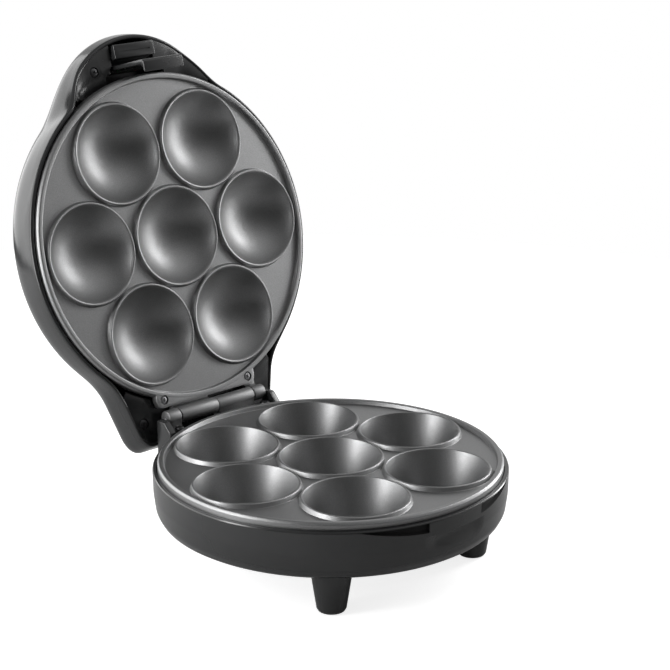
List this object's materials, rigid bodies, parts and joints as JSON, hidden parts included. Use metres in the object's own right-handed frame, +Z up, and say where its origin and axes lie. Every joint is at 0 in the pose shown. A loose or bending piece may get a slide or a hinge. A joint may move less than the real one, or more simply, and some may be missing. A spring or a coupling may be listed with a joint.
{
  "type": "cupcake maker",
  "caption": "Countertop cupcake maker: round lidded cooker on feet, non-stick plates with round cups and shallow domes, hinged lid held open, squeeze latch.",
  "frame": {"origin": "bottom centre of the bounding box in the open, resting pose, on the plane the feet stand on", "axes": "+X along the hinge, to the right seen from the front; +Y from the front to the hinge; +Z up"},
  "size_m": [0.2276, 0.331, 0.3089],
  "materials": {
    "shell_black": "glossy moulded black",
    "inner_black": "satin moulded black",
    "nonstick": "cast, dark grey non-stick coating, satin",
    "steel": "plain steel",
    "zinc_screw": "zinc plated",
    "black_screw": "blackened",
    "element_steel": "annealed sheath",
    "shield_aluminium": "mill finish sheet",
    "rubber": "matt",
    "ceramic_white": "unglazed ceramic",
    "lead_sleeve": "woven glass sleeve",
    "lens_red": "clear tinted",
    "lens_green": "clear tinted"
  },
  "bodies": {
    "base": {"base_housing": "shell_black", "bottom_cover": "inner_black", "bottom_cover_screw_1": "zinc_screw", "bottom_cover_screw_2": "zinc_screw", "bottom_cover_screw_3": "zinc_screw", "lower_plate": "nonstick", "lower_plate_screw_1": "zinc_screw", "lower_plate_screw_2": "zinc_screw", "lower_plate_screw_3": "zinc_screw", "lower_plate_screw_4": "zinc_screw", "lower_hinge_screw_left": "black_screw", "lower_hinge_screw_right": "black_screw", "lower_element": "element_steel", "lower_heat_shield": "shield_aluminium", "thermal_fuse": "ceramic_white", "fuse_clip": "steel", "terminal_block": "ceramic_white", "lead_live": "lead_sleeve", "lead_neutral": "lead_sleeve", "cord_gland": "rubber", "hinge_pin": "steel", "foot_front_left": "shell_black", "foot_front_right": "shell_black", "foot_rear_left": "shell_black", "foot_rear_right": "shell_black", "foot_pad_front_left": "rubber", "foot_pad_front_right": "rubber", "foot_pad_rear_left": "rubber", "foot_pad_rear_right": "rubber", "foot_screw_front_left": "zinc_screw", "foot_screw_front_right": "zinc_screw", "foot_screw_rear_left": "zinc_screw", "foot_screw_rear_right": "zinc_screw"},
    "lid": {"lid_housing": "shell_black", "handle_inner_cover": "inner_black", "hinge_inner_cover": "inner_black", "handle_cover_screw_left": "black_screw", "handle_cover_screw_right": "black_screw", "hinge_cover_screw_left": "black_screw", "hinge_cover_screw_right": "black_screw", "upper_plate": "nonstick", "upper_hinge_screw_left": "black_screw", "upper_hinge_screw_right": "black_screw", "upper_element": "element_steel", "upper_heat_shield": "shield_aluminium", "thermostat": "ceramic_white", "lamp_holder": "ceramic_white", "power_lens": "lens_red", "ready_lens": "lens_green", "latch_pin": "steel", "latch_spring": "steel"},
    "latch": {"latch_lever": "inner_black"}
  },
  "joints": [
    {"name": "lid_hinge", "type": "hinge", "parent": "base", "child": "lid", "pos_m": [0, 0.066, 0.0662], "axis": [1, 0, 0], "range_deg": [0, 105.4]},
    {"name": "latch_release", "type": "hinge", "parent": "lid", "child": "latch", "pos_m": [0, 0.1523, 0.28649], "axis": [-1, 0, 0], "range_deg": [0, 6], "stiffness_Nm_per_rad": 0.15, "springref_deg": -8.59}
  ]
}
